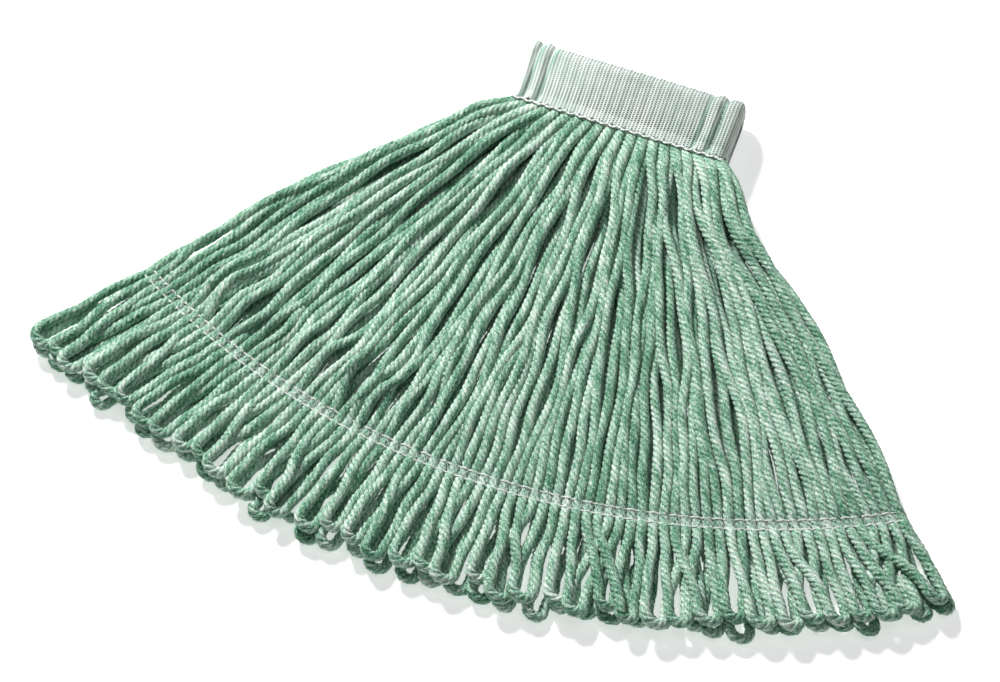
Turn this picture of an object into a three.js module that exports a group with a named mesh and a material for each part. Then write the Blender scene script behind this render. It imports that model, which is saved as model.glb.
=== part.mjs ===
// A looped-end string mop head lying flat on a floor: a folded net headband, two fanned
// skirts of yarn one on the other, a sewn tailband across each skirt and yarn loops beyond it.
// Millimetres, +Z up. X runs along the headband, +Y points to its fold, -Y to the loops.
import * as THREE from 'three';

// ---- headband ----
const BAND_LENGTH = 152; // end to end, along X
const BAND_FLAT = 41; // flat depth of each half, from the seam to where the fold begins
const NET = 0.8; // thickness of the net cover and of the net lining
const PACKED_YARN = 10; // yarn held between cover and lining
const FOLD_SPACE = 6; // clear height inside the fold, for the holder's cross-bar
const SEAM_WALL = 1.2; // sewn seam between a half of the band and its skirt

// ---- yarn skirts ----
const YARN = 7; // diameter of one strand
const STRANDS = 80; // strands side by side in one skirt, two to a loop
const SECTORS = 8; // each skirt is modelled as this many bundles of strands
const FAN = THREE.MathUtils.degToRad(41.5); // the edge strands lean out by this much
const STRAND_LENGTH = 278; // seam to the middle of the tailband
const TAIL_WIDTH = 10; // sewn tailband, across its two rows of stitching
const TAIL_THICKNESS = 5; // yarn pressed flat by the stitching
const TAIL_ROW_OFFSET = 3.4; // each row of stitching lies this far from the band's middle
const TAIL_ROW_WIDTH = 1.2;
const TAIL_ROW_HEIGHT = 0.8;
const LOOP_REACH = 85; // middle of the tailband to the loops' tips, at the fan's middle
const EDGE_SHORTER = 12; // the outermost loops reach this much less
const LOWER_EXTRA = 4; // the lower skirt's loops reach this much further out

// ---- clearances and mesh steps ----
const CLEAR = 0.3; // between pieces that touch
const LAYER_CLEAR = 0.5; // between the two skirts
const BUNDLE_CLEAR = 0.2; // half the gap between neighbouring bundles
const SECTOR_COLUMNS = 4;
const STRAND_STEPS = [0, 8, 18, 32, 60, 105, 160, 220]; // distances from the seam, then the end
const LOOPS_PER_SECTOR = STRANDS / 2 / SECTORS;
const LOOP_COLUMNS = [-1, -0.55, 0.55, 1]; // across one loop, edge to edge
const ARC_SEGMENTS = 8;

// ---- sizes that follow ----
const HALF_BAND = NET + CLEAR + PACKED_YARN + CLEAR + NET;
const BAND_HEIGHT = 2 * HALF_BAND + FOLD_SPACE;
const FOLD_RADIUS = BAND_HEIGHT / 2; // outside of the fold
const BAND_START = SEAM_WALL / 2 + CLEAR; // both sides of the seam wall
const FOLD_CENTRE_Y = BAND_START + BAND_FLAT;
const HALF_LENGTH = BAND_LENGTH / 2;
const YARN_END = STRAND_LENGTH - TAIL_WIDTH / 2 - CLEAR;
const LOOP_START = STRAND_LENGTH + TAIL_WIDTH / 2 + CLEAR;

const yarnGreen = new THREE.MeshStandardMaterial({ color: 0x7fb997, roughness: 0.95, metalness: 0 });
const netWhite = new THREE.MeshStandardMaterial({ color: 0xd9e8de, roughness: 0.85, metalness: 0 });
const threadWhite = new THREE.MeshStandardMaterial({ color: 0xf1f2ec, roughness: 0.8, metalness: 0 });

const mop = new THREE.Group();

function addMesh(name, geometry, material) {
  const mesh = new THREE.Mesh(geometry, material);
  mesh.name = name;
  mop.add(mesh);
  return mesh;
}

// A closed solid between a lower and an upper surface over the same grid of columns and rows.
// point(column, row, top) gives a corner; columns run along +X and rows away from the seam.
function loft(columns, rows, point) {
  const corners = [];
  for (const top of [false, true]) {
    for (let row = 0; row <= rows; row += 1) {
      for (let column = 0; column <= columns; column += 1) corners.push(...point(column, row, top));
    }
  }
  const layer = (columns + 1) * (rows + 1);
  const at = (column, row, top) => (top ? layer : 0) + row * (columns + 1) + column;
  const faces = [];
  const quad = (a, b, c, d) => faces.push(a, b, c, a, c, d);
  for (let row = 0; row < rows; row += 1) {
    for (let column = 0; column < columns; column += 1) {
      const near = [at(column, row, true), at(column + 1, row, true)];
      const far = [at(column, row + 1, true), at(column + 1, row + 1, true)];
      quad(near[0], far[0], far[1], near[1]);
      quad(near[1] - layer, far[1] - layer, far[0] - layer, near[0] - layer);
    }
  }
  for (let column = 0; column < columns; column += 1) {
    quad(at(column, 0, false), at(column, 0, true), at(column + 1, 0, true), at(column + 1, 0, false));
    quad(at(column + 1, rows, false), at(column + 1, rows, true), at(column, rows, true), at(column, rows, false));
  }
  for (let row = 0; row < rows; row += 1) {
    quad(at(0, row, false), at(0, row + 1, false), at(0, row + 1, true), at(0, row, true));
    quad(at(columns, row + 1, false), at(columns, row, false), at(columns, row, true), at(columns, row + 1, true));
  }
  const geometry = new THREE.BufferGeometry();
  geometry.setAttribute('position', new THREE.Float32BufferAttribute(corners, 3));
  geometry.setIndex(faces);
  geometry.computeVertexNormals();
  return geometry;
}

// ---- the fan ----

// Where a strand is, in plan: across runs from -1 to 1 along the band, along is the distance
// from the seam.
function fanPoint(across, along) {
  const lean = FAN * across;
  return [HALF_LENGTH * across + along * Math.sin(lean), -along * Math.cos(lean)];
}

function fanWidth(along) {
  return BAND_LENGTH + 2 * FAN * along;
}

// Strands lie several deep at the seam and spread to one layer at the tailband.
function looseThickness(along) {
  const layers = (STRANDS * YARN) / fanWidth(along);
  return YARN * (0.35 + 0.65 * layers);
}

// The seam pinches a skirt to the thickness of half the band.
function skirtThickness(along) {
  const pinch = 1 - HALF_BAND / looseThickness(0);
  return looseThickness(along) * (1 - pinch * Math.exp(-((along / 18) ** 2)));
}

const lowerSkirt = { name: 'lower', extra: LOWER_EXTRA, base: () => 0 };
const upperSkirt = {
  name: 'upper',
  extra: 0,
  base: (along) => skirtThickness(along) + LAYER_CLEAR + FOLD_SPACE * Math.exp(-((along / 12) ** 2)),
};

// Keeps a bundle's side clear of its neighbour by a constant width.
function bundleEdge(across, along, side) {
  return across - (side * BUNDLE_CLEAR) / (HALF_LENGTH + FAN * along);
}

function sectorName(skirt, part, index) {
  return `${skirt.name}_${part}_${String(index + 1).padStart(2, '0')}`;
}

// One bundle of strands from the seam to the tailband, its top rounded towards its sides.
function yarnBundle(skirt, index) {
  const steps = [...STRAND_STEPS.map((step) => step + BAND_START), YARN_END];
  const left = -1 + (2 * index) / SECTORS;
  const geometry = loft(SECTOR_COLUMNS, steps.length - 1, (column, row, top) => {
    const along = steps[row];
    const share = column / SECTOR_COLUMNS;
    let across = left + (2 * share) / SECTORS;
    if (column === 0) across = bundleEdge(across, along, -1);
    if (column === SECTOR_COLUMNS) across = bundleEdge(across, along, 1);
    const [x, y] = fanPoint(across, along);
    const crown = 1 - 0.14 * (2 * share - 1) ** 4;
    const base = skirt.base(along);
    return [x, y, top ? base + skirtThickness(along) * crown : base];
  });
  addMesh(sectorName(skirt, 'yarn', index), geometry, yarnGreen);
}

// The loops beyond the tailband on the same bundle, with a round tip to each loop.
function loopBundle(skirt, index) {
  const left = -1 + (2 * index) / SECTORS;
  const loopRadius = fanWidth(STRAND_LENGTH + LOOP_REACH) / STRANDS;
  const columns = [];
  for (let loop = 0; loop < LOOPS_PER_SECTOR; loop += 1) {
    for (const place of LOOP_COLUMNS.slice(loop === 0 ? 0 : 1)) columns.push({ loop, place });
  }
  const last = columns.length - 1;
  const geometry = loft(last, 1, (column, row, top) => {
    const { loop, place } = columns[column];
    const roundness = loopRadius * (1 - Math.sqrt(1 - 0.96 * place * place));
    let across = left + (2 / SECTORS) * ((loop + 0.5 + 0.5 * place) / LOOPS_PER_SECTOR);
    const tip = STRAND_LENGTH + LOOP_REACH - EDGE_SHORTER * across * across + skirt.extra;
    const along = row === 0 ? LOOP_START : tip - roundness;
    if (column === 0) across = bundleEdge(across, along, -1);
    if (column === last) across = bundleEdge(across, along, 1);
    const [x, y] = fanPoint(across, along);
    const base = skirt.base(STRAND_LENGTH);
    return [x, y, top ? base + YARN : base];
  });
  addMesh(sectorName(skirt, 'loops', index), geometry, yarnGreen);
}

// A strip of constant height that follows the curve of the tailband.
function tailStrip(name, middle, width, low, high, material) {
  const columns = SECTORS * SECTOR_COLUMNS;
  const geometry = loft(columns, 1, (column, row, top) => {
    const along = middle + (row === 0 ? -width / 2 : width / 2);
    const [x, y] = fanPoint(-1 + (2 * column) / columns, along);
    return [x, y, top ? high : low];
  });
  addMesh(name, geometry, material);
}

function tailband(skirt) {
  const base = skirt.base(STRAND_LENGTH);
  const top = base + TAIL_THICKNESS;
  tailStrip(`${skirt.name}_tailband`, STRAND_LENGTH, TAIL_WIDTH, base, top, yarnGreen);
  const rows = { inner: -TAIL_ROW_OFFSET, outer: TAIL_ROW_OFFSET };
  for (const [row, offset] of Object.entries(rows)) {
    const name = `${skirt.name}_tail_stitch_${row}`;
    const low = top + CLEAR;
    tailStrip(name, STRAND_LENGTH + offset, TAIL_ROW_WIDTH, low, low + TAIL_ROW_HEIGHT, threadWhite);
  }
}

// ---- the headband ----

// One flat layer of half the band. depth is measured in from that half's outer face.
function bandSlab(name, half, depth, thickness, material) {
  const geometry = new THREE.BoxGeometry(BAND_LENGTH, BAND_FLAT - CLEAR, thickness);
  const fromFloor = depth + thickness / 2;
  const height = half === 'lower' ? fromFloor : BAND_HEIGHT - fromFloor;
  const mesh = addMesh(name, geometry, material);
  mesh.position.set(0, BAND_START + (BAND_FLAT - CLEAR) / 2, height);
}

// The same layer as it turns round the fold: a quarter of a ring, drawn in the YZ plane, which
// stops just short of the other half's quarter.
function foldQuarter(name, half, depth, thickness, material) {
  const outer = FOLD_RADIUS - depth;
  const inner = outer - thickness;
  const turn = half === 'lower' ? -1 : 1;
  const end = (turn * Math.PI) / 2;
  const start = (radius) => turn * Math.asin(CLEAR / 2 / radius);
  const shape = new THREE.Shape();
  shape.absarc(0, 0, outer, start(outer), end, turn < 0);
  shape.absarc(0, 0, inner, end, start(inner), turn > 0);
  const geometry = new THREE.ExtrudeGeometry(shape, {
    depth: BAND_LENGTH,
    bevelEnabled: false,
    curveSegments: ARC_SEGMENTS,
  });
  const yAxis = new THREE.Vector3(0, 1, 0);
  const zAxis = new THREE.Vector3(0, 0, 1);
  const xAxis = new THREE.Vector3(1, 0, 0);
  geometry.applyMatrix4(new THREE.Matrix4().makeBasis(yAxis, zAxis, xAxis));
  const mesh = addMesh(name, geometry, material);
  mesh.position.set(-HALF_LENGTH, FOLD_CENTRE_Y, FOLD_RADIUS);
}

function seamWall(half) {
  const geometry = new THREE.BoxGeometry(BAND_LENGTH, SEAM_WALL, HALF_BAND);
  const mesh = addMesh(`${half}_seam_stitching`, geometry, threadWhite);
  mesh.position.z = half === 'lower' ? HALF_BAND / 2 : BAND_HEIGHT - HALF_BAND / 2;
}

function bandHalf(half) {
  const yarnDepth = NET + CLEAR;
  const liningDepth = yarnDepth + PACKED_YARN + CLEAR;
  bandSlab(`${half}_band_net`, half, 0, NET, netWhite);
  bandSlab(`${half}_band_yarn`, half, yarnDepth, PACKED_YARN, yarnGreen);
  bandSlab(`${half}_band_lining`, half, liningDepth, NET, netWhite);
  foldQuarter(`${half}_fold_net`, half, 0, NET, netWhite);
  foldQuarter(`${half}_fold_yarn`, half, yarnDepth, PACKED_YARN, yarnGreen);
  foldQuarter(`${half}_fold_lining`, half, liningDepth, NET, netWhite);
  seamWall(half);
}

for (const skirt of [lowerSkirt, upperSkirt]) {
  bandHalf(skirt.name);
  for (let index = 0; index < SECTORS; index += 1) {
    yarnBundle(skirt, index);
    loopBundle(skirt, index);
  }
  tailband(skirt);
}

// The origin goes to the middle of the mop's outline, on the floor.
const outline = new THREE.Box3().setFromObject(mop);
const middle = outline.getCenter(new THREE.Vector3());
mop.position.set(-middle.x, -middle.y, -outline.min.z);

export default mop;
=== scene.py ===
"""A looped-end string mop head lying flat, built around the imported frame.

Every strand is one continuous length of four-ply yarn: out of the headband, through the
tailband, round a loop and back. The headband is an open knitted net folded over the yarn.
Everything is in metres, in the frame's axes: X along the headband, +Y towards its fold.
"""
import math

import bpy
import numpy as np
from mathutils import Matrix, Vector


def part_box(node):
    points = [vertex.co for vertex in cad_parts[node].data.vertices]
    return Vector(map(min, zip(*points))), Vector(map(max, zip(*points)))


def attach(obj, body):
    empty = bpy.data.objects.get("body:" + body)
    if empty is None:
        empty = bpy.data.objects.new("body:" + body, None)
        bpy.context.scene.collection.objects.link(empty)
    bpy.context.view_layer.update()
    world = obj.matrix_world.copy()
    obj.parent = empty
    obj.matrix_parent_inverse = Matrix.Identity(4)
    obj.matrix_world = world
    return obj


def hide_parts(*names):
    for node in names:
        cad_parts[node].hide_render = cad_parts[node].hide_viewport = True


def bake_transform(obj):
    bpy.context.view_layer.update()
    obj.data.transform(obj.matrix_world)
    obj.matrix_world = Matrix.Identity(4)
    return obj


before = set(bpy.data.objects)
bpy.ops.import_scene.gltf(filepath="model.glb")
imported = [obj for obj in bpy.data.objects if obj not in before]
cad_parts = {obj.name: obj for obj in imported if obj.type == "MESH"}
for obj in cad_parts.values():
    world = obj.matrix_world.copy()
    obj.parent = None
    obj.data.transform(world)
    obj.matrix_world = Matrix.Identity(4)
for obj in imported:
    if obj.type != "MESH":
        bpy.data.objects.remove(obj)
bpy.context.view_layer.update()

# ---- sizes taken from the frame ----
_, net_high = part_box("upper_band_net")
seam_low, seam_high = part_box("upper_seam_stitching")
_, fold_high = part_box("upper_fold_net")
tail_low, tail_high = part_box("upper_tailband")
lining_low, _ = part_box("upper_band_lining")

HALF_LENGTH = net_high.x                          # half the headband's length
SEAM_Y = (seam_low.y + seam_high.y) / 2
BAND_HEIGHT = net_high.z                          # folded headband, floor to top
BAND_HALF = BAND_HEIGHT - seam_low.z              # thickness of each half of it
FOLD_Y = net_high.y                               # where the flat halves turn into the fold
FOLD_RADIUS = BAND_HEIGHT / 2
LINING_DEPTH = BAND_HEIGHT - lining_low.z         # outer face to the lining's inner face
TAIL_TOP = tail_high.z                            # top of the upper skirt's tailband
TAIL_PRESSED = tail_high.z - tail_low.z           # yarn thickness under the stitching

# ---- yarn ----
YARN = 0.007
PLIES = 4
PLY_RING = (0.84, 0.95, 1.0, 1.0, 0.95)           # one ply's outline, groove first
FIBRE_LAY = 0.72                                  # how far the fibres lie back towards the strand's axis
TWIST_PITCH = 0.017                               # one full turn of the plies
RING_STEP = 0.0016                                # distance between rings along a strand
STRANDS = 80                                      # side by side in each skirt
SECTORS = 8                                       # pieces that each skirt is divided into
LEVELS = (1, 3, 0, 2)                             # stacking order of four strands at the seam
LUMPS = 0.035                                     # unevenness of a strand's outline, share of its radius
TO_MILLIMETRES = 1000.0                           # the yarn's own coordinates are in millimetres
WEAVE_SHIFT = 900.0                               # strands start at random places in the fibre pattern

# ---- fan ----
FAN = math.radians(41.5)                          # lean of the edge strands
TAIL_AT = 0.278                                   # seam to the middle of the tailband
TAIL_HALF = 0.005                                 # half the tailband's width
ROW_OFFSET = 0.0034                               # stitch rows from the tailband's middle
ROW_PITCH = 0.0036                                # one chain stitch of a row
ROW_THREAD = 0.00027                              # radius of the rows' thread
COVER_THREADS = 2
COVER_THREAD = 0.00011                            # radius
COVER_PITCH = 0.0060                              # along the tailband, one zigzag of a cover thread
SWEEP = 0.007                                     # the skirts are combed this far towards +X
LEFT_BOW = (0.0160, 0.135, 0.115)                 # bow of the -X edge: how far, where, over what length
RIGHT_BOW = (0.0040, 0.170, 0.080)
RIGHT_NECK = (0.0070, 0.058, 0.028)               # the +X edge first draws in below the band
LOOP_REACH = 0.080                                # tailband to the loops' tips
LOOP_JITTER = 0.007                               # of a loop's place, as a share of half the fan
TIP_JITTER = (-0.007, 0.003)                      # of a loop's reach
LEFT_LOOPS = (0.022, 0.005)                       # the last loops at -X: shift across, extra reach
RIGHT_LOOPS = (0.012, -0.008)
REACH_LEAN = 0.006                                # loops are longer towards -X by this
LOWER_EXTRA = 0.003                               # the lower skirt's loops show by this
LAYER_CLEAR = 0.0005                              # between the two skirts
FOLD_SPACE = 0.006                                # extra space between them just outside the band
SEAM_PINCH = 0.013                                # reach of the seam's pinch on the skirt's thickness
SEAM_PRESS = 0.45                                 # strands are pressed this much flatter at the seam
SEAM_PRESS_REACH = 0.020
STRAND_WANDER = (0.0034, (0.21, 0.12, 0.07))      # sideways: how far, and the wavelengths
FRINGE_WANDER = (0.0018, (0.085, 0.05))
HEIGHT_WANDER = (0.0012, (0.16, 0.09))
# Waves that bunch the strands: how far, waves per unit across, wavelength along, phase.
CLUMPS = ((0.0028, 5.3, 0.31, 0.8), (0.0016, 9.1, -0.23, 2.1))
BUCKLE_AT = 0.246                                 # strands towards -X buckle just above the tailband
BUCKLE_REACH = 0.017
BUCKLE_SIDE = 0.006
BUCKLE_LIFT = (0.001, 0.008)
STRAND_START = -0.005                             # strands begin this far inside the band
LOOP_GROUPS = (6, 4, 6, 8, 6, 6, 4, 6, 6, 8, 6, 4, 6, 4)   # strands that share crossing loops
LOOP_RADIUS = (0.0042, 0.0070)                    # of a loop's round end, to the strand's middle
SLACK = {"upper": 1.0, "lower": 0.3}              # how much the strands buckle above the tailband
STAGGER = {"upper": 0.0, "lower": 1.0}            # the lower strands lie half a strand to one side
EVEN_LOOPS = 0.8                                  # 1 spaces the loops' ends quite evenly
FRINGE_LOOSE = 1.07                               # the twist opens up a little in the fringe
SHINGLE_LIFT = 0.0048                             # a loop's left leg lies this far above its right

# ---- headband net ----
NET_PITCH = (0.0023, 0.0018)                      # one cell, along X and round the fold
NET_START = 0.0009                                # the net begins this far inside the seam
NET_THREAD = 0.0005
LINING_PITCH = (0.0023, 0.0020)
LINING_TURN_ROWS = 4.0                            # the lining's rows are this much denser in its turn
LINING_DROP = 0.0004                              # the lining turns down by this at its ends
NET_SHEAR = 0.003                                 # the fold edge sits this far towards -X
NET_FLARE = 0.025                                 # and is this share longer than the seam
RIDGE_RISE = 0.0012                               # cords of yarn stand up under the net's ends
VALLEY_DEPTH = 0.0016                             # and the net dips beside them
# Ridges and valleys at the -X end, then the +X end, as (distance from the end, half width).
RIDGES = (((0.0036, 0.0022), (0.0123, 0.0028)), ((0.0060, 0.0042), (0.0180, 0.0032)))
VALLEYS = (((0.0076, 0.0016), (0.0175, 0.0015)), ((0.0126, 0.0016), (0.0232, 0.0015)))
SEAM_SCALLOP = 0.0076                             # the seam pulls in between strands, this far apart
END_ROUND = 0.005                                 # the net turns down over the yarn at each end
NET_HOLE = (0.68, 0.66)                           # hole size, as a share of a cell
NET_EDGE = 0.05                                   # share of the net that is knitted tighter at a seam
SEAM_PITCH = 0.0019                               # between overcast stitches
SEAM_LINK = 0.0030                                # one link of the chain along the seam's edge
SEAM_THREAD = 0.00042                             # radius
BAND_STRANDS = 21                                 # side by side inside the headband
BAND_YARN_DEPTHS = (0.0036, 0.0086)               # two layers of them, below the headband's face
BAND_PLY_RING = (0.8, 1.0, 1.0)
BAND_PRESS = 0.70                                 # they are pressed to this share of their height

# ---- camera ----
LENS = 120.0                                      # millimetres, on a sensor 36 mm wide
CAMERA_AZIMUTH = math.radians(20.9)
CAMERA_ELEVATION = math.radians(57.0)
CAMERA_DISTANCE = 2.18
AIM = Vector((-0.0198, SEAM_Y - 0.1692, 0.0))

# ---- studio: each light is (place, size, power) ----
KEY_LIGHT = ((-1.35, 1.12, 1.65), 0.42, 88.0)
TOP_LIGHT = ((0.2, -0.3, 2.4), 1.4, 6.0)
WORLD_LIGHT = 0.12
FLOOR_GLOW = 0.50                                 # a light table, so that shadows stay faint
SEED = 41


# ---------------------------------------------------------------- camera, floor and light

def make_camera():
    """A long lens looking down on the fringe side, a little from the +X side."""
    back = Vector((
        math.sin(CAMERA_AZIMUTH) * math.cos(CAMERA_ELEVATION),
        -math.cos(CAMERA_AZIMUTH) * math.cos(CAMERA_ELEVATION),
        math.sin(CAMERA_ELEVATION),
    ))
    data = bpy.data.cameras.new("camera")
    data.lens = LENS
    data.sensor_width = 36.0
    data.clip_start, data.clip_end = 0.05, 20.0
    camera = bpy.data.objects.new("camera", data)
    bpy.context.scene.collection.objects.link(camera)
    camera.location = AIM + back * CAMERA_DISTANCE
    camera.rotation_mode = "QUATERNION"
    camera.rotation_quaternion = (-back).to_track_quat("-Z", "Y")
    bpy.context.scene.camera = camera


def area_light(name, place, size, power):
    """A round area light that points at the origin."""
    data = bpy.data.lights.new(name, "AREA")
    data.shape = "DISK"
    data.size = size
    data.energy = power
    light = bpy.data.objects.new(name, data)
    bpy.context.scene.collection.objects.link(light)
    light.location = place
    light.rotation_mode = "QUATERNION"
    light.rotation_quaternion = (-Vector(place)).to_track_quat("-Z", "Y")


def make_studio():
    """A soft key light, a weak light from above, and a pale floor that glows a little."""
    area_light("key_light", *KEY_LIGHT)
    area_light("top_light", *TOP_LIGHT)
    world = bpy.data.worlds.new("studio")
    bpy.context.scene.world = world
    world.use_nodes = True
    background = world.node_tree.nodes["Background"]
    background.inputs["Color"].default_value = (1.0, 1.0, 1.0, 1.0)
    background.inputs["Strength"].default_value = WORLD_LIGHT
    bpy.context.scene.view_settings.view_transform = "Standard"
    bpy.ops.mesh.primitive_plane_add(size=12.0, location=(0, 0, -0.0002))
    floor = bpy.context.object
    floor.name = "floor"
    material = bpy.data.materials.new("floor")
    material.use_nodes = True
    shader = material.node_tree.nodes["Principled BSDF"]
    shader.inputs["Base Color"].default_value = (0.97, 0.97, 0.97, 1.0)
    shader.inputs["Emission Color"].default_value = (1.0, 1.0, 1.0, 1.0)
    shader.inputs["Emission Strength"].default_value = FLOOR_GLOW
    shader.inputs["Roughness"].default_value = 0.9
    shader.inputs["Specular IOR Level"].default_value = 0.1
    floor.data.materials.append(material)


# ---------------------------------------------------------------- materials

class Shader:
    """Builds a material's nodes with short calls. Each call returns an output socket."""

    def __init__(self, name, roughness, sheen=0.0):
        self.material = bpy.data.materials.new(name)
        self.material.use_nodes = True
        self.tree = self.material.node_tree
        self.surface = self.tree.nodes["Principled BSDF"]
        self.surface.inputs["Roughness"].default_value = roughness
        self.surface.inputs["Specular IOR Level"].default_value = 0.15
        self.surface.inputs["Sheen Weight"].default_value = sheen
        self.surface.inputs["Sheen Roughness"].default_value = 0.5

    def node(self, kind, **inputs):
        made = self.tree.nodes.new(kind)
        for name, value in inputs.items():
            self.feed(made.inputs[name], value)
        return made

    def feed(self, socket, value):
        if isinstance(value, bpy.types.NodeSocket):
            self.tree.links.new(value, socket)
        else:
            socket.default_value = value

    def attribute(self, name):
        made = self.node("ShaderNodeAttribute")
        made.attribute_name = name
        return made

    def scaled(self, vector, scale):
        made = self.node("ShaderNodeMapping")
        self.feed(made.inputs["Vector"], vector)
        made.inputs["Scale"].default_value = scale
        return made.outputs["Vector"]

    def noise(self, vector, scale, detail=2.0, roughness=0.5):
        made = self.node("ShaderNodeTexNoise", Scale=scale, Detail=detail, Roughness=roughness)
        self.feed(made.inputs["Vector"], vector)
        return made.outputs["Fac"]

    def ramp(self, factor, *stops):
        made = self.node("ShaderNodeValToRGB")
        elements = made.color_ramp.elements
        while len(elements) < len(stops):
            elements.new(0.5)
        for element, (place, colour) in zip(elements, stops):
            element.position = place
            element.color = (*colour, 1.0)
        self.feed(made.inputs["Fac"], factor)
        return made.outputs["Color"]

    def mix(self, factor, a, b, blend="MIX"):
        made = self.node("ShaderNodeMix")
        made.data_type = "RGBA"
        made.blend_type = blend
        self.feed(made.inputs[0], factor)
        self.feed(made.inputs[6], a)
        self.feed(made.inputs[7], b)
        return made.outputs[2]

    def maths(self, operation, a, b=0.0):
        made = self.node("ShaderNodeMath")
        made.operation = operation
        self.feed(made.inputs[0], a)
        self.feed(made.inputs[1], b)
        return made.outputs[0]

    def finish(self, colour, height, strength, distance):
        bump = self.node("ShaderNodeBump", Height=height, Strength=strength, Distance=distance)
        self.feed(self.surface.inputs["Normal"], bump.outputs["Normal"])
        self.feed(self.surface.inputs["Base Color"], colour)
        return self.material


def yarn_material(name, painted_shade_lightness):
    """Green fibre spun with pale and slightly pink fibres, with painted shade in the grooves between
    plies and, for yarn that lies in shade, painted shade over all of it. weave is the yarn's own space.
    """
    s = Shader(name, roughness=0.95, sheen=0.25)
    weave = s.attribute("weave").outputs["Vector"]
    groove = s.attribute("groove").outputs["Fac"]
    tone = s.attribute("tone").outputs["Fac"]
    fibre = s.noise(s.scaled(weave, (1.0, 1.0, 0.42)), 1.5, 3.0, 0.65)
    stretch = s.noise(s.scaled(weave, (0.5, 0.5, 0.12)), 0.5, 2.0)
    speck = s.noise(s.scaled(weave, (1.0, 1.0, 0.5)), 1.3, 1.0)
    blend = s.maths("ADD", fibre, s.maths("MULTIPLY", s.maths("SUBTRACT", stretch, 0.5), 0.45))
    blend = s.maths("ADD", blend, s.maths("MULTIPLY", s.maths("SUBTRACT", tone, 0.5), 0.08))
    colour = s.ramp(
        blend,
        (0.32, (0.022, 0.15, 0.070)),
        (0.41, (0.10, 0.32, 0.19)),
        (0.50, (0.30, 0.55, 0.40)),
        (0.58, (0.64, 0.84, 0.71)),
        (0.67, (0.95, 0.97, 0.92)),
    )
    pink = s.ramp(speck, (0.60, (0.0, 0.0, 0.0)), (0.70, (1.0, 1.0, 1.0)))
    colour = s.mix(s.maths("MULTIPLY", pink, 0.45), colour, (0.88, 0.78, 0.72, 1.0))
    # Painted shade: the grooves between the plies are darkened towards deep green.
    painted_groove_shade = s.mix(s.maths("MULTIPLY", groove, 0.60), (1.0, 1.0, 1.0, 1.0), (0.16, 0.38, 0.24, 1.0))
    colour = s.mix(1.0, colour, painted_groove_shade, "MULTIPLY")
    # Painted shade: the whole colour is darkened by this share; 0.20 for the yarn inside the headband,
    # under the net.
    colour = s.mix(1.0, colour, (painted_shade_lightness, painted_shade_lightness, painted_shade_lightness, 1.0), "MULTIPLY")
    return s.finish(colour, fibre, 0.9, 0.0008)


def thread_material(name, pale, dark, scale, valley_shade_colour=None):
    """Plain fine thread, with a little soiling. The net is painted darker and greener in its valleys:
    partly painted shade, partly a green tint.
    """
    s = Shader(name, roughness=0.8, sheen=0.2)
    place = s.node("ShaderNodeTexCoord").outputs["Object"]
    grain = s.noise(place, scale, 3.0)
    patch = s.noise(place, scale * 0.06, 2.0)
    colour = s.ramp(s.maths("MULTIPLY", s.maths("ADD", grain, patch), 0.5), (0.35, dark), (0.6, pale))
    if valley_shade_colour:
        # Painted shade with a green tint, strongest deep in the net's valleys.
        share = s.maths("MULTIPLY", s.attribute("valley").outputs["Fac"], 0.75)
        colour = s.mix(share, colour, (*valley_shade_colour, 1.0))
    return s.finish(colour, grain, 0.5, 0.0002)


# ---------------------------------------------------------------- meshes

def smooth_step(value):
    """0 below 0, 1 above 1, and a smooth rise between."""
    value = np.clip(value, 0.0, 1.0)
    return value * value * (3.0 - 2.0 * value)


def bell(value, middle, half_width):
    """A bump of height 1 round the middle."""
    return np.exp(-(((value - middle) / half_width) ** 2))


def mesh_object(name, vertices, faces, material, attributes=None):
    """faces is a list of index arrays by corners per face. Nothing sinks into the floor, z = 0."""
    corners = np.concatenate([f.ravel() for f in faces])
    counts = np.concatenate([np.full(len(f), f.shape[1]) for f in faces])
    starts = np.concatenate([[0], np.cumsum(counts)[:-1]])
    vertices = np.concatenate([vertices[:, :2], np.maximum(vertices[:, 2:], 0.0)], axis=1)
    mesh = bpy.data.meshes.new(name)
    mesh.vertices.add(len(vertices))
    mesh.vertices.foreach_set("co", vertices.astype(np.float32).ravel())
    mesh.loops.add(len(corners))
    mesh.loops.foreach_set("vertex_index", corners.astype(np.int32))
    mesh.polygons.add(len(counts))
    mesh.polygons.foreach_set("loop_start", starts.astype(np.int32))
    mesh.polygons.foreach_set("use_smooth", np.ones(len(counts), bool))
    mesh.update(calc_edges=True)
    for key, values in (attributes or {}).items():
        kind, field = ("FLOAT", "value") if values.ndim == 1 else ("FLOAT_VECTOR", "vector")
        made = mesh.attributes.new(key, kind, "POINT")
        made.data.foreach_set(field, values.astype(np.float32).ravel())
    mesh.materials.append(material)
    made = bpy.data.objects.new(name, mesh)
    bpy.context.scene.collection.objects.link(made)
    return made


def resample(path, step, *extras):
    """Evenly spaced points along a path, with the extra values carried along it."""
    lengths = np.concatenate([[0.0], np.cumsum(np.linalg.norm(np.diff(path, axis=0), axis=1))])
    at = np.linspace(0.0, lengths[-1], max(4, int(lengths[-1] / step)))
    points = np.stack([np.interp(at, lengths, path[:, i]) for i in range(3)], axis=1)
    return points, at, [np.interp(at, lengths, extra) for extra in extras]


def path_frame(points):
    """Side and up directions along a path that never runs straight up."""
    tangent = np.gradient(points, axis=0)
    tangent /= np.linalg.norm(tangent, axis=1)[:, None]
    side = np.cross(tangent, (0.0, 0.0, 1.0))
    side /= np.linalg.norm(side, axis=1)[:, None]
    return side, np.cross(side, tangent)


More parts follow.
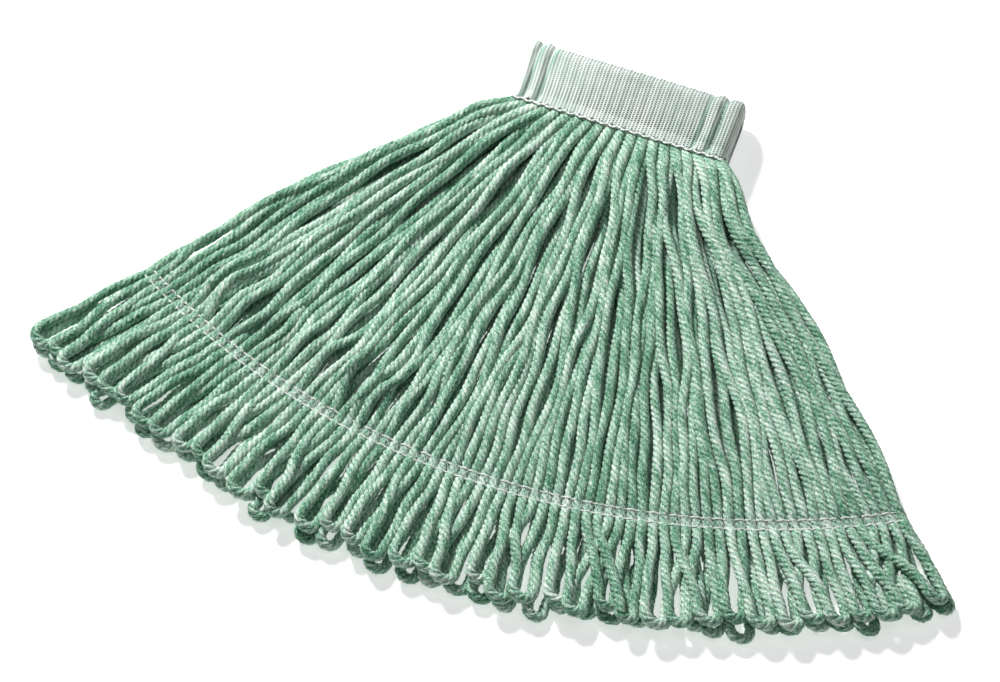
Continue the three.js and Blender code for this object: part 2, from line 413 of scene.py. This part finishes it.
def tube_faces(rings, ring_size, first, closed=False):
    """Quads along a tube, and a cap at each end unless it joins up with itself."""
    ring = np.arange(rings if closed else rings - 1)[:, None]
    corner = np.arange(ring_size)[None, :]
    after_ring = (ring + 1) % rings
    after_corner = (corner + 1) % ring_size
    quads = np.stack([
        ring * ring_size + corner,
        after_ring * ring_size + corner,
        after_ring * ring_size + after_corner,
        ring * ring_size + after_corner,
    ], axis=-1).reshape(-1, 4) + first
    if closed:
        return quads, None
    caps = np.stack([np.arange(ring_size), np.arange(ring_size)[::-1] + (rings - 1) * ring_size])
    return quads, caps + first


class YarnBuilder:
    """Collects twisted four-ply strands into one mesh with the yarn's own coordinates."""

    def __init__(self, rng):
        self.rng = rng
        self.vertices, self.quads, self.caps = [], [], []
        self.weave, self.groove, self.tone = [], [], []
        self.count = 0

    def add(self, path, wide, high):
        """A twisted strand along a path, with its section's width and height at each point."""
        points, at, (wide, high) = resample(path, RING_STEP, wide, high)
        side, up = path_frame(points)
        profile = np.tile(PLY_RING, PLIES)
        size = len(profile)
        own_angle = 2 * math.pi * np.arange(size) / size
        turn = self.rng.uniform(0, 2 * math.pi) + 2 * math.pi * at / TWIST_PITCH
        angle = own_angle[None, :] + turn[:, None]
        waver = 1.0 + 0.05 * np.sin(at / 0.019 + self.rng.uniform(0, 6.3))
        lumps = 1.0 + LUMPS * self.rng.standard_normal((len(at), size))
        distance = YARN / 2 * profile[None, :] * waver[:, None] * lumps
        across = (distance * np.cos(angle) * wide[:, None])[..., None] * side[:, None, :]
        upward = (distance * np.sin(angle) * high[:, None])[..., None] * up[:, None, :]
        rings = points[:, None, :] + across + upward
        self.store(rings, at, profile, own_angle[None, :] + FIBRE_LAY * turn[:, None])

    def store(self, rings, at, profile, fibre_angle):
        """Keeps a strand's rings of points, and works out its own coordinates, how deep each point lies
        in a groove between plies (for the painted shade there) and its tone.
        """
        quads, caps = tube_faces(len(at), len(profile), self.count)
        self.vertices.append(rings.reshape(-1, 3))
        self.quads.append(quads)
        self.caps.append(caps)
        self.count += len(at) * len(profile)
        weave = np.empty((len(at), len(profile), 3))
        radius = YARN / 2 * TO_MILLIMETRES
        weave[..., 0] = np.cos(fibre_angle) * radius + self.rng.uniform(0, WEAVE_SHIFT)
        weave[..., 1] = np.sin(fibre_angle) * radius
        weave[..., 2] = at[:, None] * TO_MILLIMETRES
        self.weave.append(weave.reshape(-1, 3))
        # How deep each point lies in a groove between the plies, from 0 to 1: the yarn material paints
        # shade there.
        self.groove.append(np.tile((1.0 - profile) / (1.0 - profile.min()), len(at)))
        self.tone.append(np.full(len(at) * len(profile), self.rng.uniform(0.0, 1.0)))

    def build(self, name, material):
        """One object from all the strands added so far."""
        attributes = {
            "weave": np.concatenate(self.weave),
            "groove": np.concatenate(self.groove),
            "tone": np.concatenate(self.tone),
        }
        faces = [np.concatenate(self.quads), np.concatenate(self.caps)]
        return mesh_object(name, np.concatenate(self.vertices), faces, material, attributes)


# ---------------------------------------------------------------- the fan of strands

def fan_point(across, along):
    """Place on the fan: across from -1 to 1, and along a strand from the seam."""
    lean = FAN * across
    x = HALF_LENGTH * across + along * np.sin(lean) + SWEEP * smooth_step(along / TAIL_AT)
    return x, SEAM_Y - along * np.cos(lean)


def fan_width(along):
    """Length of the fan's arc at a distance from the seam."""
    return 2 * HALF_LENGTH + 2 * FAN * np.maximum(along, 0.0)


def skirt_thickness(along):
    """Strands lie several deep at the seam, pinched by it, and in one layer at the tailband."""
    loose = YARN * (0.35 + 0.65 * STRANDS * YARN / fan_width(along))
    loose_at_seam = YARN * (0.35 + 0.65 * STRANDS * YARN / (2 * HALF_LENGTH))
    pinch = 1.0 - BAND_HALF / loose_at_seam
    return loose * (1.0 - pinch * bell(np.maximum(along, 0.0), 0.0, SEAM_PINCH))


def seam_tuck(along):
    """How far the strands are drawn in under the net's edge."""
    return 0.0012 * bell(np.maximum(along, 0.0), 0.0, 0.003)


def skirt_base(skirt, along):
    """Height that a skirt's underside lies at."""
    if skirt == "lower":
        return np.zeros_like(along)
    space = FOLD_SPACE * bell(np.maximum(along, 0.0), 0.0, 0.012)
    return skirt_thickness(along) + LAYER_CLEAR + space


def wander(rng, along, amplitude, wavelengths):
    """A slow random wave along a strand."""
    total = np.zeros_like(along)
    for wavelength in wavelengths:
        phase = rng.uniform(0, 2 * math.pi)
        share = rng.uniform(0.4, 1.0)
        total += share * np.sin(2 * math.pi * along / wavelength + phase)
    return amplitude * total / len(wavelengths)


def clumping(skirt, across, along):
    """Neighbouring strands bunch together. The lower skirt's bunches lie under the gaps above."""
    free = smooth_step(along / 0.06) * smooth_step((TAIL_AT - along) / 0.05)
    total = 0.0
    for reach, count, length, phase in CLUMPS:
        total = total + reach * np.sin(2 * math.pi * (count * across + along / length) + phase)
    side = 1.0 if skirt == "upper" else -1.0
    return side * free * total


def edge_bow(across, along):
    """The outermost strands bow outwards between the seam and the tailband."""
    outer = smooth_step((abs(across) - 0.40) / 0.60) * smooth_step(along / 0.03)
    if across < 0:
        reach, middle, length = LEFT_BOW
        return -reach * outer * bell(along, middle, length)
    reach, middle, length = RIGHT_BOW
    neck, neck_middle, neck_length = RIGHT_NECK
    return outer * (reach * bell(along, middle, length) - neck * bell(along, neck_middle, neck_length))


def strand_sideways(rng, skirt, across, along, tip_along, free):
    """How far a strand strays to the side, and how strongly it buckles above the tailband."""
    edge = TAIL_AT + TAIL_HALF
    sideways = free * wander(rng, along, *STRAND_WANDER)
    sideways += clumping(skirt, across, along)
    sideways += edge_bow(across, along)
    in_fringe = smooth_step((along - edge) / 0.02) * smooth_step((tip_along - along) / 0.02)
    sideways += in_fringe * wander(rng, along, *FRINGE_WANDER)
    buckle = bell(along, BUCKLE_AT + rng.uniform(-0.010, 0.006), BUCKLE_REACH)
    slack = smooth_step((-across - 0.02) / 0.25) * smooth_step((1.02 + across) / 0.15) * SLACK[skirt]
    buckle = slack * buckle
    return sideways + buckle * rng.uniform(-BUCKLE_SIDE, BUCKLE_SIDE), buckle


def strand_section(along, tail_press, beyond):
    """How wide and how high a strand is, where the seam and the stitches press it."""
    seam_press = 1.0 - SEAM_PRESS * bell(np.maximum(along, 0.0), 0.0, SEAM_PRESS_REACH)
    row_press = bell(along, TAIL_AT - ROW_OFFSET, 0.0011) + bell(along, TAIL_AT + ROW_OFFSET, 0.0011)
    pressed_share = TAIL_PRESSED / YARN
    high = seam_press * (1.0 - (1.0 - pressed_share) * tail_press) * (1.0 - 0.10 * row_press)
    wide = 1.0 + 0.12 * (1.0 - seam_press) / SEAM_PRESS + 0.06 * tail_press
    wide += (FRINGE_LOOSE - 1.0) * beyond
    return wide, high


def strand_height(skirt, index, along, high, tail_press):
    """Height of a strand's middle: four deep at the seam, then two, then one at the tailband."""
    base = skirt_base(skirt, np.minimum(along, TAIL_AT))
    thickness = skirt_thickness(np.minimum(along, TAIL_AT))
    four = LEVELS[index % 4] / 3.0
    two = float(LEVELS[index % 4] >= 2)
    stack = four + (two - four) * smooth_step(along / 0.09)
    room = np.maximum(thickness - YARN * high, 0.0) * (1.0 - tail_press)
    spread = 1.0 + 0.35 * smooth_step(along / 0.09) * smooth_step((TAIL_AT - along) / 0.12)
    return base + high * YARN / 2 + room * spread * stack - seam_tuck(along) * (2.0 * stack - 1.0)


def strand_leg(rng, skirt, index, tip_across, tip_along, tip_lift):
    """One strand from inside the band to where its loop begins to turn.

    Returns its path, and how wide and how high its section is at each point.
    """
    across = -1.0 + (2.0 * index + 1.0 + STAGGER[skirt]) / STRANDS
    along = np.linspace(STRAND_START, tip_along, 300)
    edge = TAIL_AT + TAIL_HALF
    beyond = smooth_step((along - edge) / (tip_along - edge))
    place = across + (tip_across - across) * beyond
    free = smooth_step(along / 0.05) * smooth_step((TAIL_AT - 0.004 - along) / 0.04)
    sideways, buckle = strand_sideways(rng, skirt, across, along, tip_along, free)

    x, y = fan_point(place, along)
    lean = FAN * place
    x = x + sideways * np.cos(lean)
    y = y + sideways * np.sin(lean)

    tail_press = bell(along, TAIL_AT, 0.0062)
    wide, high = strand_section(along, tail_press, beyond)
    z = strand_height(skirt, index, along, high, tail_press)
    z += free * (0.0010 + wander(rng, along, *HEIGHT_WANDER))
    z += buckle * rng.uniform(*BUCKLE_LIFT)
    z += tip_lift * smooth_step((along - edge) / 0.05)
    return np.stack([x, y, z], axis=1), wide, high


def loop_arc(middle, along, radius, skirt, left_lift, right_lift):
    """The round end of a loop, between its two legs, one of which lies over its neighbour."""
    turn = np.linspace(0.0, math.pi, 26)[1:-1]
    metric = HALF_LENGTH + FAN * along
    x, y = fan_point(middle - radius / metric * np.cos(turn), along + radius * np.sin(turn))
    share = smooth_step(turn / math.pi)
    ground = skirt_base(skirt, np.array([TAIL_AT]))[0] + YARN / 2
    z = ground + left_lift + (right_lift - left_lift) * share
    return np.stack([x, y, z], axis=1)


def looped_strand(rng, skirt, first, second, number):
    """A strand from the band, round its loop, and back to the band as another strand."""
    natural = -1.0 + (first + second + 1.0) / STRANDS
    even = -1.0 + (2.0 * number + 1.0) / (STRANDS / 2)
    middle = natural + EVEN_LOOPS * (even - natural) + STAGGER[skirt] / STRANDS
    middle += rng.uniform(-LOOP_JITTER, LOOP_JITTER)
    left_end = smooth_step((-middle - 0.72) / 0.28)
    right_end = smooth_step((middle - 0.85) / 0.15)
    middle += LEFT_LOOPS[0] * left_end + RIGHT_LOOPS[0] * right_end
    radius = rng.uniform(*LOOP_RADIUS)
    extra = LOWER_EXTRA if skirt == "lower" else 0.0
    tip = TAIL_AT + LOOP_REACH - REACH_LEAN * middle + extra + rng.uniform(*TIP_JITTER)
    tip += LEFT_LOOPS[1] * left_end + RIGHT_LOOPS[1] * right_end
    along = tip - radius - YARN / 2
    reach = radius / (HALF_LENGTH + FAN * along)
    left_lift = SHINGLE_LIFT * rng.uniform(0.7, 1.3)
    right_lift = SHINGLE_LIFT * rng.uniform(0.0, 0.25)
    out, out_wide, out_high = strand_leg(rng, skirt, first, middle - reach, along, left_lift)
    back, back_wide, back_high = strand_leg(rng, skirt, second, middle + reach, along, right_lift)
    arc = loop_arc(middle, along, radius, skirt, left_lift, right_lift)
    path = np.concatenate([out, arc, back[::-1]])
    wide = np.concatenate([out_wide, np.full(len(arc), FRINGE_LOOSE), back_wide[::-1]])
    high = np.concatenate([out_high, np.ones(len(arc)), back_high[::-1]])
    return path, wide, high


def loop_pairs(rng):
    """Which strands join at a loop: within a group, each goes to the one half a group along."""
    pairs = []
    first = 0
    for size in rng.permutation(LOOP_GROUPS):
        half = size // 2
        pairs += [(first + i, first + i + half) for i in range(half)]
        first += size
    return pairs


def make_skirt(skirt, seed, material):
    """All the strands of a skirt, in one piece for each sector of the fan."""
    rng = np.random.default_rng(seed)
    builders = [YarnBuilder(rng) for _ in range(SECTORS)]
    for number, (first, second) in enumerate(loop_pairs(rng)):
        sector = min(SECTORS - 1, int((first + second + 1) / 2 / (STRANDS / SECTORS)))
        builders[sector].add(*looped_strand(rng, skirt, first, second, number))
    made = []
    for number, builder in enumerate(builders, start=1):
        piece = builder.build(f"{skirt}_strands_{number:02d}", material)
        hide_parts(f"{skirt}_yarn_{number:02d}", f"{skirt}_loops_{number:02d}")
        made.append(piece)
    return made


# ---------------------------------------------------------------- the headband

def band_path(depth, steps_flat, steps_turn):
    """Points (y, z) and outward directions round the folded band, this deep below its face."""
    start = SEAM_Y + NET_START
    flat = np.linspace(start, FOLD_Y, steps_flat)
    turn = np.linspace(-math.pi / 2, math.pi / 2, steps_turn)[1:-1]
    radius = FOLD_RADIUS - depth
    y = np.concatenate([flat, FOLD_Y + radius * np.cos(turn), flat[::-1]])
    z = np.concatenate([
        np.full(steps_flat, depth),
        FOLD_RADIUS + radius * np.sin(turn),
        np.full(steps_flat, BAND_HEIGHT - depth),
    ])
    out_y = np.concatenate([np.zeros(steps_flat), np.cos(turn), np.zeros(steps_flat)])
    out_z = np.concatenate([-np.ones(steps_flat), np.sin(turn), np.ones(steps_flat)])
    return y, z, out_y, out_z


def sheared(x, y):
    """The headband is pulled a little askew, and wider, towards its fold."""
    share = smooth_step((y - SEAM_Y) / (fold_high.y - SEAM_Y))
    return x + share * (NET_FLARE * x - NET_SHEAR)


def make_band_yarn(material):
    """The layers of strands that the headband is folded over."""
    rng = np.random.default_rng(SEED + 3)
    builder = YarnBuilder(rng)
    for depth in BAND_YARN_DEPTHS:
        y, z, _, _ = band_path(depth, 14, 16)
        for index in range(BAND_STRANDS):
            x = (2 * (index + 0.5) / BAND_STRANDS - 1) * (HALF_LENGTH - 0.003)
            x = x + wander(rng, np.linspace(0, 0.13, len(y)), 0.0007, (0.05, 0.09))
            path = np.stack([sheared(x, y), y, z], axis=1)
            points, _, _ = resample(path, RING_STEP)
            add_band_strand(builder, points)
    piece = builder.build("headband_yarn", material)
    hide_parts("lower_band_yarn", "lower_fold_yarn", "upper_band_yarn", "upper_fold_yarn")
    return piece


def add_band_strand(builder, points):
    """Strands in the band turn upright round the fold, so they are framed along X instead."""
    profile = np.tile(BAND_PLY_RING, PLIES)
    size = len(profile)
    tangent = np.gradient(points, axis=0)
    tangent /= np.linalg.norm(tangent, axis=1)[:, None]
    side = np.tile((1.0, 0.0, 0.0), (len(points), 1))
    up = np.cross(side, tangent)
    up /= np.linalg.norm(up, axis=1)[:, None]
    own_angle = 2 * math.pi * np.arange(size) / size
    at = np.arange(len(points)) * RING_STEP
    angle = own_angle[None, :] + 2 * math.pi * at[:, None] / TWIST_PITCH
    distance = YARN / 2 * profile[None, :]
    across = (distance * np.cos(angle))[..., None] * side[:, None, :]
    upward = (BAND_PRESS * distance * np.sin(angle))[..., None] * up[:, None, :]
    builder.store(points[:, None, :] + across + upward, at, profile, own_angle[None, :])


def end_profile(place, half_width, drop):
    """Position along X, and depth below the face, at a distance along the net from its middle."""
    flat = HALF_LENGTH - END_ROUND
    turn = np.linspace(0.0, math.pi / 2, 40)
    x = np.concatenate([[0.0], flat + END_ROUND * np.sin(turn)])
    down = np.concatenate([[0.0], drop * (1.0 - np.cos(turn))])
    lengths = np.concatenate([[0.0], np.cumsum(np.hypot(np.diff(x), np.diff(down)))])
    at = np.abs(place) / half_width * lengths[-1]
    return np.sign(place) * np.interp(at, lengths, x), np.interp(at, lengths, down)


def end_width(drop):
    """Half of the net's own width, with its rounded end."""
    turn = np.linspace(0.0, math.pi / 2, 200)
    arc = np.hypot(np.diff(END_ROUND * np.sin(turn)), np.diff(drop * np.cos(turn))).sum()
    return HALF_LENGTH - END_ROUND + arc


def bells_by_end(x, left, right):
    """Sum of bells (distance from the end, half width), given for each end of the headband."""
    total = sum(bell(HALF_LENGTH + x, *place) for place in left)
    return total + sum(bell(HALF_LENGTH - x, *place) for place in right)


def ridges(x):
    """Two cords of yarn stand up under the net near each end, with valleys beside them."""
    return RIDGE_RISE * bells_by_end(x, *RIDGES) - VALLEY_DEPTH * valleys(x)


def valleys(x):
    """Where the net dips beside its ridges, from 0 to 1."""
    return bells_by_end(x, *VALLEYS)


def row_places(y, z, turn_rows):
    """Distance along the band's path, with its turn counted turn_rows times over."""
    steps = np.hypot(np.diff(y), np.diff(z)) * np.where(np.diff(z) > 0.0, turn_rows, 1.0)
    return np.concatenate([[0.0], np.cumsum(steps)])


def net_surface(place_x, place_t, depth, drop, has_ridges, turn_rows):
    """Points on the net: place_x from -1 to 1 across it and place_t from 0 to 1 round the fold."""
    y, z, out_y, out_z = band_path(depth, 40, 60)
    lengths = row_places(y, z, turn_rows)
    at = place_t * lengths[-1]
    y, z, out_y, out_z = (np.interp(at, lengths, row) for row in (y, z, out_y, out_z))
    x, down = end_profile(place_x, 1.0, drop)
    rise = 0.0
    if has_ridges:
        off_floor = smooth_step((out_z + 1.0) / 0.5)
        ripple = 0.00025 * np.sin(2 * math.pi * x / 0.0072)
        wobble = 0.0009 * np.sin(2 * math.pi * at / 0.041 + 0.6 * np.sign(x))
        rise = off_floor * (ridges(x + wobble) + ripple)
    out = rise - down
    return np.stack([sheared(x, y), y + out_y * out, z + out_z * out], axis=1)


def net_grid(columns, rows, hole, tight_edge=0.0):
    """Plan of a knitted net: cells in staggered rows, each with a four-sided hole.

    The holes are smaller towards -X, where the net is less stretched, and at the seams.
    Returns corner places (x from -1 to 1, t from 0 to 1) and the quads that frame each hole.
    """
    column, row = np.meshgrid(np.arange(columns), np.arange(rows), indexing="ij")
    column, row = column.ravel(), row.ravel()
    shift = 0.5 * (column % 2)
    corner_x = np.array([0, 1, 1, 0])
    corner_t = np.array([0, 0, 1, 1])
    from_edge = np.minimum(row, rows - 1 - row) / rows
    open_share = np.where(from_edge < tight_edge, 0.75, 1.0)
    open_share *= 0.76 + 0.24 * smooth_step((column / columns - 0.12) / 0.40)
    open_share = open_share[:, None]
    inner_x = column[:, None] + 0.5 + open_share * hole[0] * (corner_x - 0.5)
    inner_t = row[:, None] + 0.5 + open_share * hole[1] * (corner_t - 0.5)
    x = np.concatenate([column[:, None] + corner_x, inner_x], axis=1)
    t = np.concatenate([row[:, None] + corner_t, inner_t], axis=1)
    t = np.clip((t + shift[:, None]) / (rows + 0.5), 0.0, 1.0)
    x = 2.0 * x / columns - 1.0
    first = 8 * np.arange(len(column))[:, None]
    side = np.arange(4)
    after = (side + 1) % 4
    quads = np.stack([side, after, after + 4, side + 4], axis=-1)
    return x.ravel(), t.ravel(), (first[:, :, None] + quads[None]).reshape(-1, 4)


def thicken(outer, inner, quads):
    """Two faces of a net joined round each hole's edge."""
    count = len(outer)
    hole = quads.reshape(-1, 4, 4)[:, :, 2:4].reshape(-1, 2)
    walls = np.stack([hole[:, 1], hole[:, 0], hole[:, 0] + count, hole[:, 1] + count], axis=1)
    return np.concatenate([outer, inner]), np.concatenate([quads[:, ::-1], quads + count, walls])


def make_net(name, nodes, material, pitch, depth, drop, has_ridges=False, turn_rows=1.0):
    """A knitted net round the fold, this deep below the band's face and turned down at its ends."""
    y, z, _, _ = band_path(depth, 40, 60)
    rows = int(row_places(y, z, turn_rows)[-1] / pitch[1])
    width = 2 * end_width(drop)
    x, t, quads = net_grid(int(width / pitch[0]), rows, NET_HOLE, NET_EDGE)
    outer = net_surface(x, t, depth, drop, has_ridges, turn_rows)
    inner = net_surface(x, t, depth + NET_THREAD, drop, has_ridges, turn_rows)
    vertices, faces = thicken(outer, inner, quads)
    # How deep each point lies in a valley, which the net's material paints darker and greener, partly as
    # shade.
    valley = valleys(vertices[:, 0] + NET_SHEAR / 2) if has_ridges else np.zeros(len(vertices))
    piece = mesh_object(name, vertices, [faces], material, {"valley": valley})
    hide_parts(*nodes)
    return piece


def small_tubes(name, paths, radius, material, sides=6, closed=False):
    """Threads of even thickness along short paths."""
    vertices, quads, caps = [], [], []
    count = 0
    angle = 2 * math.pi * np.arange(sides) / sides
    for points in paths:
        if closed:
            tangent = np.roll(points, -1, 0) - np.roll(points, 1, 0)
        else:
            tangent = np.gradient(points, axis=0)
        tangent /= np.linalg.norm(tangent, axis=1)[:, None]
        helper = np.where(np.abs(tangent[:, 2:3]) > 0.9, (0.0, 1.0, 0.0), (0.0, 0.0, 1.0))
        side = np.cross(tangent, helper)
        side /= np.linalg.norm(side, axis=1)[:, None]
        up = np.cross(side, tangent)
        ring = np.cos(angle)[None, :, None] * side[:, None] + np.sin(angle)[None, :, None] * up[:, None]
        vertices.append((points[:, None] + radius * ring).reshape(-1, 3))
        made, ends = tube_faces(len(points), sides, count, closed)
        quads.append(made)
        if ends is not None:
            caps.append(ends)
        count += len(points) * sides
    faces = [np.concatenate(quads)] + ([np.concatenate(caps)] if caps else [])
    return mesh_object(name, np.concatenate(vertices), faces, material)


def make_seam(half, material):
    """Overcast stitching that closes one half of the band where its skirt comes out."""
    low, high = (0.0, BAND_HALF) if half == "lower" else (BAND_HEIGHT - BAND_HALF, BAND_HEIGHT)
    paths = []
    for index in range(int(2 * HALF_LENGTH / SEAM_PITCH) - 2):
        x = -HALF_LENGTH + (index + 1.5) * SEAM_PITCH
        turn = np.linspace(0, 2 * math.pi, 25)[:-1]
        y = SEAM_Y + 0.0006 * np.cos(turn)
        z = (low + high) / 2 + (high - low) / 2 * np.sign(np.sin(turn)) * np.abs(np.sin(turn)) ** 0.35
        paths.append(np.stack([x + 0.0005 * np.cos(turn), y, z], axis=1))
    edge = 0.0004 if half == "lower" else BAND_HEIGHT + 0.0003
    for index in range(int(2 * HALF_LENGTH / SEAM_LINK)):
        turn = np.linspace(0, 2 * math.pi, 13)[:-1]
        x = -HALF_LENGTH + (index + 0.5) * SEAM_LINK + 0.62 * SEAM_LINK * np.cos(turn)
        scallop = 0.0007 * np.cos(2 * math.pi * x / SEAM_SCALLOP)
        y = SEAM_Y - 0.0001 + scallop + 0.0004 * np.sin(turn)
        paths.append(np.stack([x, y, edge + 0.0002 * np.cos(turn)], axis=1))
    piece = small_tubes(f"{half}_seam_stitches", paths, SEAM_THREAD, material, closed=True)
    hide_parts(f"{half}_seam_stitching")
    return piece


# ---------------------------------------------------------------- the tailband

def tail_height(skirt):
    """Top of a skirt's strands where the tailband presses them."""
    return TAIL_TOP if skirt == "upper" else TAIL_PRESSED


def make_stitch_row(skirt, row, offset, material):
    """A row of chain stitches along the tailband, one thin link after another."""
    along = TAIL_AT + offset
    length = fan_width(along) * 0.99
    count = int(length / ROW_PITCH)
    turn = np.linspace(0, 2 * math.pi, 13)[:-1]
    paths = []
    for index in range(count):
        across = -0.99 + 1.98 * (index + 0.5) / count
        local = across + (0.62 * ROW_PITCH * np.cos(turn)) / (HALF_LENGTH + FAN * along)
        x, y = fan_point(local, along + 0.0003 * np.sin(turn))
        valley = 0.0005 * np.cos(math.pi * STRANDS * (local + 1.0))
        z = tail_height(skirt) - 0.0001 - valley + 0.0002 * np.cos(turn)
        paths.append(np.stack([x, y, z], axis=1))
    piece = small_tubes(f"{skirt}_stitch_row_{row}", paths, ROW_THREAD, material, sides=5, closed=True)
    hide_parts(f"{skirt}_tail_stitch_{row}")
    return piece


def make_cover_stitches(skirt, material):
    """Fine threads that cross and recross the strands between the two rows of stitches."""
    crossings = int(2 * fan_width(TAIL_AT) * 0.99 / COVER_PITCH)
    steps = np.linspace(0.0, crossings, 4 * crossings + 1)
    paths = []
    for thread in range(COVER_THREADS):
        across = -0.985 + 1.97 * steps / crossings
        swing = 1.0 - 2.0 * np.abs((steps + 2.0 * thread / COVER_THREADS) % 2.0 - 1.0)
        x, y = fan_point(across, TAIL_AT + 0.95 * ROW_OFFSET * swing)
        valley = 0.0006 * np.cos(math.pi * STRANDS * (across + 1.0))
        z = tail_height(skirt) - 0.0002 - valley + 0.0001 * thread
        paths.append(np.stack([x, y, z], axis=1))
    piece = small_tubes(f"{skirt}_cover_stitches", paths, COVER_THREAD, material, sides=5)
    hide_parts(f"{skirt}_tailband")
    return piece


# ---------------------------------------------------------------- assembly

def blend_round_fold(piece):
    """Bakes a piece's placement into its mesh."""
    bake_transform(piece)


make_camera()
make_studio()

skirt_yarn = yarn_material("skirt_yarn", 1.0)
# The yarn inside the headband is the skirts' yarn, painted five times darker as shade under the net.
band_yarn = yarn_material("band_yarn", 0.20)
# Its valleys are painted darker and greener, partly as painted shade.
net_thread = thread_material(
    "net_thread", (0.68, 0.74, 0.70), (0.48, 0.60, 0.54), 900.0, valley_shade_colour=(0.22, 0.44, 0.32)
)
white_thread = thread_material("white_thread", (0.88, 0.90, 0.87), (0.74, 0.79, 0.75), 1200.0)

for strands in make_skirt("lower", SEED + 1, skirt_yarn):
    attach(strands, "lower_layer")
for strands in make_skirt("upper", SEED + 2, skirt_yarn):
    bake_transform(strands)

blend_round_fold(make_band_yarn(band_yarn))
outer_net = make_net(
    "headband_net",
    ("lower_band_net", "lower_fold_net", "upper_band_net", "upper_fold_net"),
    net_thread,
    NET_PITCH,
    depth=0.0,
    drop=LINING_DEPTH - 0.001,
    has_ridges=True,
)
blend_round_fold(outer_net)
lining_net = make_net(
    "headband_lining",
    ("lower_band_lining", "lower_fold_lining", "upper_band_lining", "upper_fold_lining"),
    net_thread,
    LINING_PITCH,
    depth=LINING_DEPTH - NET_THREAD,
    drop=LINING_DROP,
    turn_rows=LINING_TURN_ROWS,
)
blend_round_fold(lining_net)

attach(make_seam("lower", white_thread), "lower_layer")
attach(make_seam("upper", white_thread), "upper_band")

for skirt, body in (("lower", "lower_layer"), ("upper", "upper_skirt")):
    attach(make_stitch_row(skirt, "inner", -ROW_OFFSET, white_thread), body)
    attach(make_stitch_row(skirt, "outer", ROW_OFFSET, white_thread), body)
    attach(make_cover_stitches(skirt, white_thread), body)
